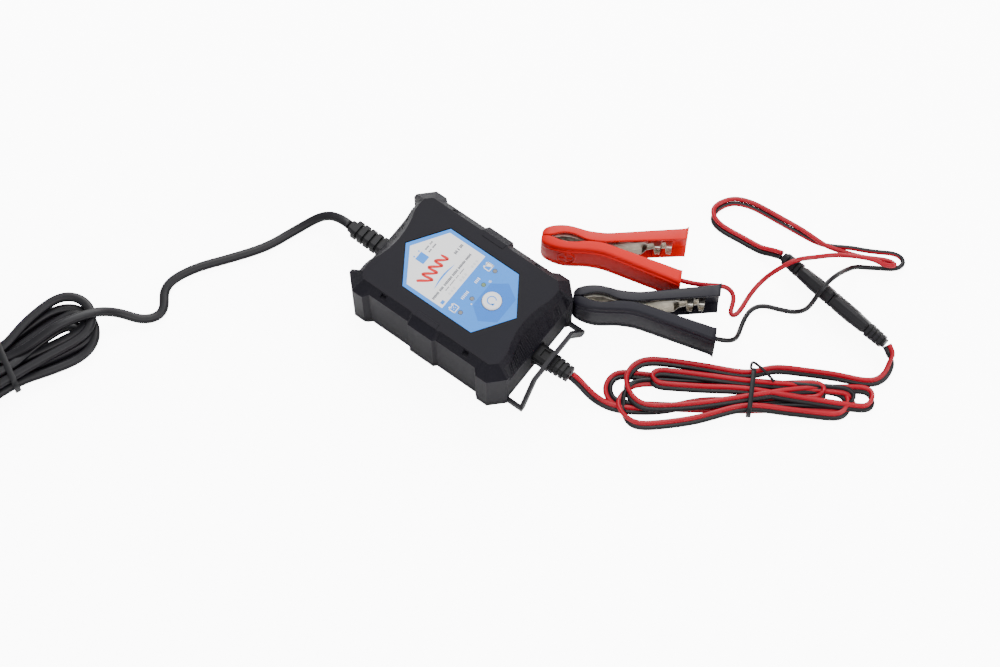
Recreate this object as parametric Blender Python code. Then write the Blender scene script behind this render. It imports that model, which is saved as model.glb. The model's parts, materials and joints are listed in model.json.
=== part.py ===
"""12 V battery charger with mains lead, output lead, inline connector and two insulated clamps.
Z up, +X along the housing towards the output end, +Y towards its far long side, metres.
Origin: centre of the housing's underside. All lengths below are in millimetres; MM scales them."""
import bpy
import bmesh
import math
from mathutils import Vector, Matrix

for o in list(bpy.data.objects):
    bpy.data.objects.remove(o, do_unlink=True)

MM = 0.001

# ---- housing ------------------------------------------------------------------------------------
HALF_X = 51.0          # corner block end face
END_X = 49.6           # end wall between the corner blocks
HALF_Y = 36.1          # corner block side face
SIDE_Y = 33.4          # long wall
PAD_Y = 35.0           # pad half way along the long wall
CHAMF = 7.6            # corner chamfer
BLOCK = 6.6            # corner block length past the chamfer
STEP = 2.8             # slanted step from block to wall
PAD_X = 7.7            # half length of the pad
PAD_S = 1.5
TOP_Z = 37.5
SEAM_Z = 5.2
END_Z = 21.5           # top edge of the end wall
# ---- label and controls ---------------------------------------------------------------------------
LABEL_A = 35.7
LABEL_B = 22.0
LABEL_W = 20.5
BUTTON_X = 20.0
BUTTON_R = 5.15
LED_X = 11.0
LED_R = 1.25
LED_PITCH = 9.8
# ---- clamps --------------------------------------------------------------------------------------
CLAMP_JAW = 33.0
CLAMP_H = 22.5         # cover width along the pivot
RED_NOSE = (12.8, 53.4)
RED_ANG = 27.1
BLACK_NOSE = (46.9, 34.6)
BLACK_ANG = 29.0


def mat(name, rgb, rough=0.5, metal=0.0):
    m = bpy.data.materials.new(name)
    m.use_nodes = True
    b = m.node_tree.nodes["Principled BSDF"]
    b.inputs["Base Color"].default_value = (rgb[0], rgb[1], rgb[2], 1.0)
    b.inputs["Roughness"].default_value = rough
    b.inputs["Metallic"].default_value = metal
    return m


def make(name, bm, material):
    bmesh.ops.remove_doubles(bm, verts=bm.verts, dist=1e-7)
    bmesh.ops.recalc_face_normals(bm, faces=bm.faces)
    me = bpy.data.meshes.new(name)
    bm.to_mesh(me)
    bm.free()
    ob = bpy.data.objects.new(name, me)
    bpy.context.scene.collection.objects.link(ob)
    ob.data.materials.append(material)
    return ob


def loft_bm(rings):
    """rings: lists of equal length of (x, y, z) in mm; both ends capped."""
    bm = bmesh.new()
    vs = [[bm.verts.new(Vector(p) * MM) for p in r] for r in rings]
    n = len(rings[0])
    for a, b in zip(vs[:-1], vs[1:]):
        for j in range(n):
            k = (j + 1) % n
            bm.faces.new((a[j], a[k], b[k], b[j]))
    bm.faces.new(vs[0][::-1])
    bm.faces.new(vs[-1])
    return bm


def loft(name, rings, material, frame=None):
    bm = loft_bm(rings)
    if frame is not None:
        f = frame.copy()
        f.translation = f.translation * MM
        bmesh.ops.transform(bm, matrix=f, verts=bm.verts)
    return make(name, bm, material)


def prism(name, pts, z0, z1, material, frame=None):
    return loft(name, [[(x, y, z0) for x, y in pts], [(x, y, z1) for x, y in pts]], material, frame)


def box(name, lo, hi, material, frame=None):
    pts = [(lo[0], lo[1]), (hi[0], lo[1]), (hi[0], hi[1]), (lo[0], hi[1])]
    return prism(name, pts, lo[2], hi[2], material, frame)


def circle(cx, cy, r, n=24, ph=0.0):
    return [(cx + r * math.cos(2 * math.pi * (i + ph) / n), cy + r * math.sin(2 * math.pi * (i + ph) / n))
            for i in range(n)]


def lathe(name, prof, material, frame=None, n=24):
    """prof: (z, r) pairs along the local Z axis."""
    return loft(name, [[(x, y, z) for x, y in circle(0, 0, r, n)] for z, r in prof], material, frame)


def set_origin(ob, point):
    """Moves the object's origin to a point of its joint's axis; the shape stays where it is."""
    p = Vector(point) * MM
    ob.data.transform(Matrix.Translation(-p))
    ob.location = p


def cut(target, cutter, op="DIFFERENCE"):
    md = target.modifiers.new("b", "BOOLEAN")
    md.operation = op
    md.solver = "EXACT"
    md.object = cutter
    dg = bpy.context.evaluated_depsgraph_get()
    me = bpy.data.meshes.new_from_object(target.evaluated_get(dg))
    target.modifiers.clear()
    old = target.data
    target.data = me
    bpy.data.meshes.remove(old)
    bpy.data.objects.remove(cutter, do_unlink=True)


def along(p, q, roll=0.0):
    """Frame whose local Z runs from p to q, local X kept level, then rolled."""
    p, q = Vector(p), Vector(q)
    z = (q - p).normalized()
    x = Vector((0, 0, 1)).cross(z)
    x = x.normalized() if x.length > 1e-6 else Vector((1, 0, 0))
    y = z.cross(x)
    m = Matrix(((x[0], y[0], z[0], 0), (x[1], y[1], z[1], 0), (x[2], y[2], z[2], 0), (0, 0, 0, 1)))
    m = m @ Matrix.Rotation(roll, 4, "Z")
    m.translation = p
    return m


def smooth_path(pts, step):
    """Catmull-Rom through pts, resampled about every step mm."""
    P = [Vector(p) for p in pts]
    P = [P[0] * 2 - P[1]] + P + [P[-1] * 2 - P[-2]]
    fine = []
    for i in range(1, len(P) - 2):
        a, b, c, d = P[i - 1:i + 3]
        for k in range(12):
            t = k / 12.0
            fine.append(0.5 * ((2 * b) + (c - a) * t + (2 * a - 5 * b + 4 * c - d) * t * t
                               + (3 * b - a - 3 * c + d) * t ** 3))
    fine.append(P[-2])
    total = sum((fine[i + 1] - fine[i]).length for i in range(len(fine) - 1))
    n = max(2, int(round(total / step)))
    out, acc, j = [fine[0]], 0.0, 0
    for k in range(1, n):
        want = total * k / n
        while acc + (fine[j + 1] - fine[j]).length < want:
            acc += (fine[j + 1] - fine[j]).length
            j += 1
        seg = fine[j + 1] - fine[j]
        out.append(fine[j] + seg * ((want - acc) / seg.length))
    out.append(fine[-1])
    return out


def tube(name, pts, r, material, step):
    """Round cord along a smooth curve through pts, a point every step mm."""
    path = smooth_path(pts, step)
    cu = bpy.data.curves.new(name, "CURVE")
    cu.dimensions = "3D"
    cu.bevel_depth = r * MM
    cu.bevel_resolution = 2
    cu.use_fill_caps = True
    sp = cu.splines.new("POLY")
    sp.points.add(len(path) - 1)
    for i, p in enumerate(path):
        sp.points[i].co = (p[0] * MM, p[1] * MM, p[2] * MM, 1.0)
    ob = bpy.data.objects.new(name, cu)
    bpy.context.scene.collection.objects.link(ob)
    cu.materials.append(material)
    return ob


def mirror4(quad):
    """Full outline, anticlockwise, from points listed for x>0, y>0 going from the X axis to the Y axis."""
    q1 = list(quad)
    q2 = [(-x, y) for x, y in reversed(quad)]
    q3 = [(-x, -y) for x, y in quad]
    q4 = [(x, -y) for x, y in reversed(quad)]
    out = []
    for p in q1 + q2 + q3 + q4:
        if not out or (abs(out[-1][0] - p[0]) + abs(out[-1][1] - p[1])) > 1e-6:
            out.append(p)
    if abs(out[0][0] - out[-1][0]) + abs(out[0][1] - out[-1][1]) < 1e-6:
        out.pop()
    return out


black = mat("housing_black", (0.035, 0.034, 0.045), 0.55)
base_m = mat("base_black", (0.03, 0.03, 0.038), 0.6)
label_m = mat("label_film", (0.25, 0.55, 0.85), 0.35)
white_m = mat("button_white", (0.85, 0.86, 0.88), 0.4)
led_m = mat("led_window", (0.35, 0.36, 0.36), 0.25)
pcb_m = mat("pcb_green", (0.02, 0.12, 0.05), 0.5)
core_m = mat("transformer_body", (0.55, 0.42, 0.10), 0.5)
cap_m = mat("capacitor_sleeve", (0.03, 0.04, 0.12), 0.35)
alu_m = mat("heatsink_alu", (0.55, 0.56, 0.58), 0.4, 1.0)
steel_m = mat("screw_steel", (0.45, 0.45, 0.47), 0.35, 1.0)
bail_m = mat("bail_plastic", (0.04, 0.04, 0.05), 0.5)
relief_m = mat("relief_rubber", (0.02, 0.02, 0.024), 0.6)
cord_m = mat("cord_black", (0.015, 0.015, 0.018), 0.45)
red_wire_m = mat("cord_red", (0.55, 0.01, 0.04), 0.4)
twin_m = mat("lead_red_black", (0.30, 0.01, 0.03), 0.4)
tie_m = mat("tie_black", (0.012, 0.012, 0.014), 0.5)
plug_m = mat("plug_black", (0.02, 0.02, 0.022), 0.5)
pin_m = mat("plug_pin", (0.60, 0.58, 0.52), 0.3, 1.0)
red_m = mat("cover_red", (0.75, 0.02, 0.012), 0.4)
blk_m = mat("cover_black", (0.03, 0.03, 0.04), 0.45)
nickel_m = mat("jaw_nickel", (0.60, 0.57, 0.50), 0.3, 1.0)


# ---- housing top shell -------------------------------------------------------------------------
SCOOP_X = 40.0         # end recess: nearest point of its edge to the middle
SCOOP_R = 47.0         # radius of that edge
SCOOP_Y = 19.0         # past here the edge runs straight


def arc_x(y):
    """Edge of the end recess on the top plane."""
    y = min(abs(y), SCOOP_Y)
    return SCOOP_X + SCOOP_R - math.sqrt(SCOOP_R ** 2 - y * y)


END_YS = [0.0, 6.5, 12.5, 18.0, 22.0]


def outline(kind, inset=0.0):
    """One ring of the outer skin for the first quadrant, mirrored all round. kind: wall, mid, shoulder,
    top."""
    q = []
    for y in END_YS:
        if kind in ("wall", "mid"):
            q.append((END_X, y))
        elif kind == "shoulder":
            q.append((arc_x(y) + 2.6, y))
        else:
            q.append((arc_x(y), y))
    c = HALF_X - CHAMF
    if kind == "top":
        q += [(43.8, 24.6), (43.8, 25.8), (43.8, 25.9), (40.2, 29.4), (37.0, 29.4), (34.3, 29.4),
              (PAD_X + PAD_S, 29.4), (PAD_X, 30.2), (0.0, 30.2)]
    else:
        q += [(END_X if kind != "shoulder" else 46.6, 25.3), (HALF_X, 26.4), (HALF_X, HALF_Y - CHAMF),
              (c, HALF_Y), (c - BLOCK, HALF_Y), (c - BLOCK - STEP, SIDE_Y),
              (PAD_X + PAD_S, SIDE_Y), (PAD_X, PAD_Y), (0.0, PAD_Y)]
    if inset:
        q = [(max(x - inset, 0.0) if x > 0 else 0.0, max(y - inset, 0.0) if y > 0 else 0.0) for x, y in q]
    return mirror4(q)


def ring(kind, zf):
    """Outline with a height per point; zf maps (x, y) to z."""
    return [(x, y, zf(abs(x), abs(y))) for x, y in outline(kind)]


def shoulder_z(x, y):
    if y < 25.4 and x > 38:
        return 33.6
    if y >= HALF_Y - 0.1 or x >= HALF_X - 0.1:
        return 31.0
    return 33.5 if y > 34.0 else 33.0


def mid_z(x, y):
    return END_Z if (y < 25.4 and x > 38) else 20.5


top = loft("housing_top", [
    ring("wall", lambda x, y: SEAM_Z),
    ring("mid", mid_z),
    ring("shoulder", shoulder_z),
    ring("top", lambda x, y: TOP_Z)], black)

# hollow inside, kept clear of the scooped ends
cav = [(47.4, 24.0), (47.4, 27.6), (41.6, 33.2), (36.5, 33.2), (34.0, 31.2), (0, 31.2)]
cav_low = mirror4([(47.4, 0.0)] + cav)
cav_31 = mirror4([(39.8, 0.0), (39.8, 24.0), (41.0, 26.5), (39.5, 29.0), (36.5, 30.6), (34.0, 31.2),
                  (0, 31.2)])
cav_35 = mirror4([(37.5, 0.0), (37.5, 20.0), (38.5, 23.5), (37.5, 25.5), (35.5, 26.8), (34.0, 27.4),
                  (0, 27.4)])
cut(top, loft("cavity", [[(x, y, SEAM_Z - 1.0) for x, y in cav_low], [(x, y, 19.5) for x, y in cav_low],
                         [(x, y, 31.0) for x, y in cav_31], [(x, y, 35.2) for x, y in cav_35]], black))

BOSS_X, BOSS_Y = 36.0, 23.0
for sx in (-1, 1):
    for sy in (-1, 1):
        boss = prism("boss", circle(sx * BOSS_X, sy * BOSS_Y, 3.4, 20), SEAM_Z + 0.3, 35.8, black)
        cut(top, boss, "UNION")
for sx in (-1, 1):
    for sy in (-1, 1):
        cut(top, prism("pilot", circle(sx * BOSS_X, sy * BOSS_Y, 1.3, 16), SEAM_Z - 1, 18.0, black))


def hexagon(grow):
    """Label outline, grown by the same distance on every side."""
    a, b, w = LABEL_A + 1.15 * grow, LABEL_B + 0.4 * grow, LABEL_W + grow
    return [(a, 0.0), (b, w), (-b, w), (-a, 0.0), (-b, -w), (b, -w)]


cut(top, prism("recess", hexagon(0.45), TOP_Z - 0.7, TOP_Z + 1.0, black))
LED_YS = [(i - 1.5) * LED_PITCH for i in range(4)]
for y in LED_YS:
    cut(top, prism("hole", circle(LED_X, y, LED_R + 0.1, 16), 30.0, TOP_Z + 1.0, black))
cut(top, prism("hole", circle(BUTTON_X, 0.0, BUTTON_R + 0.3, 32), 30.0, TOP_Z + 1.0, black))
# cable openings in the end walls
cut(top, box("hole", (-52, -5.2, 7.8), (-46, 5.2, 16.2), black))
cut(top, box("hole", (46, -5.5, 7.8), (52, 5.5, 17.2), black))
# two notches in each long bevel
for sx in (-1, 1):
    for sy in (-1, 1):
        cx = sx * 26.5
        cut(top, box("notch", (cx - 1.6, sy * 31.4 - 1.6, 34.2), (cx + 1.6, sy * 31.4 + 1.6, 39.0), black))

# ---- base shell ---------------------------------------------------------------------------------
BASE_TOP = 4.9
base = loft("housing_base", [
    [(x, y, 0.0) for x, y in outline("wall", 1.2)],
    [(x, y, 1.2) for x, y in outline("wall")],
    [(x, y, BASE_TOP) for x, y in outline("wall")]], base_m)
cut(base, prism("tray", cav_low, 2.0, 8.0, base_m))
for sx in (-1, 1):
    for sy in (-1, 1):
        cut(base, prism("tower", circle(sx * BOSS_X, sy * BOSS_Y, 4.6, 20), 1.5, BASE_TOP, base_m), "UNION")
        cut(base, prism("post", circle(sx * 27.0, sy * 23.0, 2.4, 12), 1.5, 8.9, base_m), "UNION")
for sx in (-1, 1):
    for sy in (-1, 1):
        cut(base, prism("bore", circle(sx * BOSS_X, sy * BOSS_Y, 1.7, 16), -1.0, 8.0, base_m))
        cut(base, prism("sink", circle(sx * BOSS_X, sy * BOSS_Y, 3.2, 20), -1.0, 2.6, base_m))
for sy in (-1, 1):
    cut(base, box("slot", (40.3, sy * 27.0 - 1.3, 0.8), (53, sy * 27.0 + 1.3, 6.0), base_m))

# ---- screws, one node each ------------------------------------------------------------------------
k = 0
for sx in (-1, 1):
    for sy in (-1, 1):
        k += 1
        f = Matrix.Translation((sx * BOSS_X, sy * BOSS_Y, 0))
        lathe("base_screw_%d" % k, [(1.5, 0.9), (0.7, 1.1), (0.7, 2.5), (1.0, 2.9), (2.5, 2.9), (2.5, 1.2),
                                    (14.0, 1.2)], steel_m, f, 16)

# ---- label, button, indicator windows -----------------------------------------------------------
lab = prism("label_panel", hexagon(0.0), TOP_Z - 0.65, TOP_Z - 0.3, label_m)
for y in LED_YS:
    cut(lab, prism("hole", circle(LED_X, y, LED_R + 0.1, 16), 30.0, 40.0, label_m))
cut(lab, prism("hole", circle(BUTTON_X, 0.0, BUTTON_R + 0.3, 32), 30.0, 40.0, label_m))
f = Matrix.Translation((BUTTON_X, 0, 0))
button = lathe("mode_button", [(30.9, 1.5), (33.9, 1.5), (33.9, 6.3), (34.6, 6.3), (34.6, BUTTON_R),
                               (37.7, BUTTON_R), (38.1, BUTTON_R - 0.5)], white_m, f, 32)
set_origin(button, (BUTTON_X, 0, TOP_Z))
for i, y in enumerate(LED_YS):
    f = Matrix.Translation((LED_X, y, 0))
    lathe("led_window_%d" % (i + 1), [(29.0, 1.1), (29.6, LED_R), (37.1, LED_R), (37.35, 0.9)], led_m, f, 16)

# ---- electronics --------------------------------------------------------------------------------
box("circuit_board", (-32.0, -28.0, 9.0), (32.0, 28.0, 10.6), pcb_m)
box("control_board", (4.0, -19.0, 27.0), (30.0, 19.0, 28.6), pcb_m)
loft("transformer", [[(x * s - 14, y * s, z) for x, y in [(10, 8), (8, 11), (-8, 11), (-10, 8), (-10, -8),
                                                         (-8, -11), (8, -11), (10, -8)]]
                     for z, s in [(10.7, 1.0), (13.0, 1.0), (13.0, 0.86), (25.0, 0.86), (25.0, 1.0),
                                  (27.5, 1.0)]], core_m)
lathe("capacitor_a", [(10.7, 5.2), (11.6, 5.5), (29.0, 5.5), (29.6, 5.0)], cap_m,
      Matrix.Translation((-26.0, 18.5, 0)), 20)
lathe("capacitor_b", [(10.7, 4.6), (11.4, 4.9), (21.5, 4.9), (22.0, 4.4)], cap_m,
      Matrix.Translation((15.0, 20.0, 0)), 20)
fins = [(6, -25), (26, -25), (26, -21.6), (24.4, -21.6), (24.4, -23.4), (20.8, -23.4), (20.8, -21.6),
        (19.2, -21.6), (19.2, -23.4), (15.6, -23.4), (15.6, -21.6), (14.0, -21.6), (14.0, -23.4),
        (7.6, -23.4), (7.6, -21.6), (6, -21.6)]
prism("heat_sink", fins, 10.7, 24.0, alu_m)
box("power_transistor", (8.2, -23.2, 13.0), (13.4, -20.2, 22.5), cord_m)
lathe("tact_switch", [(28.7, 4.2), (30.0, 4.2), (30.0, 1.7), (30.5, 1.7)], cord_m,
      Matrix.Translation((BUTTON_X, 0, 0)), 4)

# ---- pull-out hanging bail -------------------------------------------------------------------------
BAIL_X = 58.0          # inner face of the crossbar
BAIL_T = 2.0
ARM_Y = 27.0
ARM_Z = (1.0, 4.4)
low = [(-28.0, 1.0), (-25.2, 1.0), (-14.6, 17.6), (14.6, 17.6), (25.2, 1.0), (28.0, 1.0)]
high = [(28.0, 4.4), (27.3, 4.4), (16.7, 21.0), (-16.7, 21.0), (-27.3, 4.4), (-28.0, 4.4)]
bail = loft("hanging_bail", [[(x, y, z) for y, z in low + high] for x in (BAIL_X, BAIL_X + BAIL_T)], bail_m)
for sy in (-1, 1):
    arm = box("arm", (46.4, sy * ARM_Y - 1.0, ARM_Z[0]), (BAIL_X + 1.0, sy * ARM_Y + 1.0, ARM_Z[1]), bail_m)
    cut(bail, arm, "UNION")
set_origin(bail, (BAIL_X, 0, 2.7))


# ---- strain reliefs -----------------------------------------------------------------------------
def rrect(w, h, c=0.28):
    """Rounded rectangle of 12 points, w along local x, h along local y."""
    r = min(w, h) * c
    a, b = w / 2, h / 2
    q = [(a, b - r), (a - r * 0.3, b - r * 0.3), (a - r, b)]
    return (q + [(-x, y) for x, y in reversed(q)] + [(-x, -y) for x, y in q]
            + [(x, -y) for x, y in reversed(q)])


def ribs(z0, n, pitch, land, big, small, taper=1.0):
    """Section list (z, w, h) of n ribs: big and small are (w, h) pairs."""
    out = []
    for i in range(n):
        s = 1.0 - (1.0 - taper) * i / max(1, n - 1)
        z = z0 + i * pitch
        out += [(z, small[0] * s, small[1] * s), (z, big[0] * s, big[1] * s),
                (z + land, big[0] * s, big[1] * s), (z + land, small[0] * s, small[1] * s)]
    return out


def sect_loft(name, sections, material, frame):
    return loft(name, [[(x, y, z) for x, y in rrect(w, h)] for z, w, h in sections], material, frame)


GLAND_Z = 12.0
f = along((-45.4, 0.0, GLAND_Z), (-60.0, 0.0, GLAND_Z))
sect_loft("mains_strain_relief", [(0.0, 12.4, 10.4), (1.6, 12.4, 10.4), (1.6, 9.8, 7.8), (4.6, 9.8, 7.8)]
          + ribs(5.4, 5, 4.3, 2.7, (10.6, 8.2), (7.6, 5.4), 0.92) + [(28.4, 6.4, 4.6)], relief_m, f)
OUT_Z = 12.5
f = along((45.4, 0.0, OUT_Z), (60.0, 0.0, OUT_Z))
og = sect_loft("output_strain_relief", [(0.0, 12.8, 11.0), (1.6, 12.8, 11.0), (1.6, 10.4, 8.6),
                                        (4.7, 10.4, 8.6), (4.7, 10.8, 9.0), (13.4, 10.8, 9.0)]
               + ribs(14.4, 4, 2.9, 1.8, (9.8, 8.4), (7.2, 6.0), 0.86) + [(25.0, 6.2, 5.0)], relief_m, f)
cut(og, box("window", (52.6, -2.4, OUT_Z + 3.3), (56.4, 2.4, OUT_Z + 6.0), relief_m))

MAINS_R = 2.1          # tubes that stand for the flat mains lead, the paired output lead and a single core
TWIN_R = 2.3
CORE_R = 1.3

# ---- mains lead -----------------------------------------------------------------------------------
tube("mains_cord", [(-74.6, 0, 12), (-79, 0.6, 11.4), (-91, -1, 6), (-99, -15, 2.6), (-106, -33, 2.4),
                    (-117, -50, 2.4),
                    (-127, -64, 2.4), (-133, -77, 2.4), (-133, -86, 2.4), (-127, -92, 2.4), (-125, -98, 2.4),
                    (-131, -106, 2.4), (-142, -110.5, 2.4)], MAINS_R, cord_m, 7.0)


def hank(name, c1, c2, r, zs, material):
    """Solid for a tied coil: a capsule outline with round ends, edges eased top and bottom."""
    z0, z1 = zs
    ax = math.atan2(c2[1] - c1[1], c2[0] - c1[0])

    def cap(rr, n=9):
        pts = []
        for i in range(n):
            a = ax - math.pi / 2 + math.pi * i / (n - 1)
            pts.append((c2[0] + rr * math.cos(a), c2[1] + rr * math.sin(a)))
        for i in range(n):
            a = ax + math.pi / 2 + math.pi * i / (n - 1)
            pts.append((c1[0] + rr * math.cos(a), c1[1] + rr * math.sin(a)))
        return pts
    e = 0.25 * (z1 - z0)
    loft(name, [[(x, y, z0) for x, y in cap(r - e)], [(x, y, z0 + e) for x, y in cap(r)],
                [(x, y, z1 - e) for x, y in cap(r)], [(x, y, z1) for x, y in cap(r - e)]], material)


TIE_T = 0.8
TIE_GAP = 0.3


def band(name, c1, c2, dist, r, zs, wide, material):
    """Tie round a hank, dist along from c1."""
    z0, z1 = zs
    d = Vector((c2[0] - c1[0], c2[1] - c1[1], 0)).normalized()
    ang = math.atan2(d[1], d[0])
    f = Matrix.Translation((c1[0] + d[0] * dist, c1[1] + d[1] * dist, 0)) @ Matrix.Rotation(ang, 4, "Z")
    g, t = TIE_GAP, TIE_T
    ob = box(name, (-wide / 2, -r - g - t, z0 - g - t), (wide / 2, r + g + t, z1 + g + t), material, f)
    cut(ob, box("in", (-wide, -r - g, z0 - g), (wide, r + g, z1 + g), material, f))


MH1, MH2 = (-151.2, -133.0), (-183.6, -216.7)
MH_R, MH_Z = 22.0, (1.3, 14.0)
hank("mains_hank", MH1, MH2, MH_R, MH_Z, cord_m)
band("mains_tie", MH1, MH2, 40.0, MH_R, MH_Z, 4.0, tie_m)
tube("mains_cord_end", [(-176.6, -240.9, 2.4), (-172.6, -251.7, 2.4), (-164.6, -259.7, 4.0),
                        (-157.1, -265.7, 7.0)],
     MAINS_R, cord_m, 7.0)
f = along((-156.6, -266.1, 7.2), (-132.6, -284.1, 7.2))
sect_loft("mains_plug", ribs(0.0, 4, 3.0, 1.8, (8.6, 7.6), (6.4, 5.6)) + [(12.6, 9.0, 8.0),
                                                                          (16.0, 21.0, 11.6),
          (30.0, 30.0, 13.2), (35.0, 31.0, 13.4), (36.0, 30.0, 12.4)], plug_m, f)
for i, sx in enumerate((-1, 1)):
    g = f @ Matrix.Translation((sx * 9.5, 0, 36.05))
    lathe("plug_pin_%d" % (i + 1), [(0.0, 2.0), (17.5, 2.0), (18.6, 1.2)], pin_m, g, 14)

# ---- output lead ----------------------------------------------------------------------------------
tube("output_lead_start", [(71.2, 0, 12.5), (74.5, 0.1, 11.6), (79.5, 0.3, 7.2), (84.5, 0.6, 3.4),
                           (88.6, 1.2, 2.6)],
     TWIN_R, twin_m, 5.0)
OH1, OH2 = (101.6, 16.1), (190.4, 76.2)
OH_R, OH_Z = 16.0, (1.3, 11.5)
hank("output_hank", OH1, OH2, OH_R, OH_Z, twin_m)
band("output_tie", OH1, OH2, 56.0, OH_R, OH_Z, 2.6, tie_m)
tube("output_lead_end", [(198.3, 94.5, 2.6), (199.8, 100, 2.8), (199.4, 106, 3.6), (196.6, 111.6, 6.5),
                         (191.9, 113.7, 8.7)], TWIN_R, twin_m, 5.0)

# ---- inline connector -----------------------------------------------------------------------------
CON_A, CON_B = (120.0, 124.2, 8.7), (190.6, 113.9, 8.7)
CON_ROLL = math.radians(28.0)
ca, cb = Vector(CON_A), Vector(CON_B)
cm = (ca + cb) / 2
half = (cb - ca).length / 2
# frame with local Y upwards (leaning), local X sideways
fb = along(cm, cb, CON_ROLL)
fa = along(cm, ca, -CON_ROLL)
for nm, f in (("connector_plug", fb), ("connector_socket", fa)):
    ob = sect_loft(nm, [(0.12, 7.0, 14.6), (0.5, 7.4, 15.4), (16.0, 7.4, 15.4), (22.0, 7.0, 13.6),
                        (23.4, 6.0, 10.6),
                        (23.4, 5.4, 7.6)]
                   + ribs(24.2, 4, 2.7, 1.7, (7.6, 9.4),
                          (5.4, 7.0), 0.9) + [(half - 0.1, 5.0, 6.4)], plug_m, f)

# ---- wires to the clamps ---------------------------------------------------------------------------
tube("clamp_lead_twin", [(118.7, 124.4, 8.7), (114.6, 124.6, 6.6), (107, 123, 3), (97, 123, 2.3),
                         (87, 122, 2.3),
                         (80, 122, 2.3), (73.5, 125, 2.3), (73, 130, 2.3), (76, 137, 2.3), (80, 140.5, 2.3),
                         (89, 143.5, 2.3), (102, 144.5, 2.3), (117, 145.5, 2.3), (130, 146, 2.3),
                         (138.2, 148.2, 2.3)],
     2.2, twin_m, 5.0)
tube("clamp_lead_red", [(142.6, 148.6, 1.6), (152, 152.4, 1.6), (163, 158, 1.7), (168.4, 159.4, 3.6),
                        (164, 155.8, 6.2),
                        (157, 152, 6.4), (143, 144.4, 6.0), (134, 134, 9.5), (128, 122.5, 17.2),
                        (123, 115, 13.5),
                        (119, 109, 7.0), (117.5, 101, 4.6), (117.3, 95, 2.2), (117.9, 88, 1.6),
                        (117.4, 83, 1.6),
                        (115.2, 82.2, 1.6), (113.4, 86, 1.6), (111.6, 91, 1.8), (108.4, 93.6, 3.0),
                        (104, 92.4, 5.5),
                        (98, 87, 8.5), (92, 82.4, 10.4), (85.0, 79.0, 11.3)], CORE_R, red_wire_m, 3.6)
tube("clamp_lead_black", [(141.4, 151.8, 1.6), (150, 155.8, 1.6), (158, 159.8, 1.6), (164, 164, 1.6),
                          (169, 165, 1.6),
                          (172.4, 162, 1.6), (170, 157, 1.6), (164, 153, 1.6), (158, 149, 1.6),
                          (153, 145, 3.0),
                          (151, 138, 8.5), (150, 128, 17.5), (149, 119, 21.0), (148.5, 112, 18.5),
                          (147, 107.5, 9),
                          (144, 105.5, 3.2), (140, 103, 1.7), (133, 100, 1.6), (127, 97.6, 1.6),
                          (123, 93.5, 1.6),
                          (122.2, 87, 1.6), (124, 79, 1.6), (125.6, 73, 3.0), (124, 66.6, 8.0),
                          (117.0, 61.4, 11.3)],
     CORE_R, cord_m, 4.0)

# ---- insulated clamps -----------------------------------------------------------------------------
XS = [-33.0, -31.6, -29.0, -25.0, -20.0, -15.0, -10.0, -6.0, 0.0, 5.0, 10.0, 18.0, 30.0, 40.8, 43.0]


def lerp_table(tab, x):
    for (x0, y0), (x1, y1) in zip(tab[:-1], tab[1:]):
        if x <= x1:
            t = (x - x0) / (x1 - x0)
            return y0 + (y1 - y0) * min(1.0, max(0.0, t))
    return tab[-1][1]


OUT = [(-33, 3.2), (-31.6, 4.5), (-29, 5.7), (-25, 6.7), (-20, 7.1), (-15, 6.7), (-10, 6.0), (-6, 5.8),
       (0, 5.9),
       (5, 6.9), (40.8, 15.9), (43, 17.4)]
EDGE = [(-33, 0.25), (-29, 0.25), (-25, 1.6), (-20, 2.6), (-15, 2.2), (-10, 0.8), (-6, 0.25), (0, 0.3),
        (5, 1.3),
        (10, 2.3), (40.8, 8.9), (43, 9.4)]
HALF = [(-33, 7.2), (-29, 9.6), (-20, 11.0), (-10, 10.6), (0, 11.2), (40.8, 10.5), (43, 11.1)]


def cover(name, s, material, frame):
    rings = []
    for x in XS:
        yo, yi, h = lerp_table(OUT, x), lerp_table(EDGE, x), lerp_table(HALF, x)
        t = 1.5
        deep = 0.3 if x < -32 else (1.6 if x < -31 else max(0.5, yo - 1.8 - yi))
        yp = min(yi + deep, yo - 1.2)
        sec = [(yi, h), (yo - 0.9, h), (yo, h - 1.1), (yo + 0.6, h * 0.4), (yo + 0.6, -h * 0.4),
               (yo, -h + 1.1),
               (yo - 0.9, -h), (yi, -h), (yi, -h + t), (yp, -h + t), (yp, h - t), (yi, h - t)]
        rings.append([(x, s * y, z) for y, z in sec])
    return loft(name, rings, material, frame)


def jaw(name, s, wide, material, frame):
    """Pressed sheet channel: jaw, pivot ears, crimp."""
    rings = []
    #       x    half width, edge
    prof = [(-28.7, 4.0, 0.2), (-27.4, wide, 0.2), (-25.6, wide, 0.3), (-22.0, wide, 1.4), (-17.0, wide, 1.6),
            (-12.0, wide, 0.5), (-5.0, wide, 0.2), (-4.4, wide, -2.2), (0.0, wide, -2.2),
            (4.4, wide, -2.2), (5.2, wide, 1.0),
            (12.0, wide, 3.2), (20.0, wide - 0.6, 5.2), (22.5, 3.8, 6.4), (26.0, 3.4, 7.6), (26.6, 3.9, 5.4),
            (29.6, 3.9, 6.0), (30.2, 3.4, 8.6), (32.0, 3.4, 9.0), (32.6, 3.8, 6.4), (35.6, 3.8, 7.0)]
    t = 0.8
    for x, w, e in prof:
        yw = lerp_table(OUT, x) - 2.1
        e = min(e, yw - t - 0.25)
        rings.append([(x, s * y, z) for y, z in [(e, w), (yw, w), (yw, -w), (e, -w), (e, -w + t),
                                                 (yw - t, -w + t),
                                                 (yw - t, w - t), (e, w - t)]])
    ob = loft(name, rings, material, frame)
    cut(ob, prism("hole", circle(0, 0, 1.55, 16), -12, 12, material, frame))
    return ob


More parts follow.
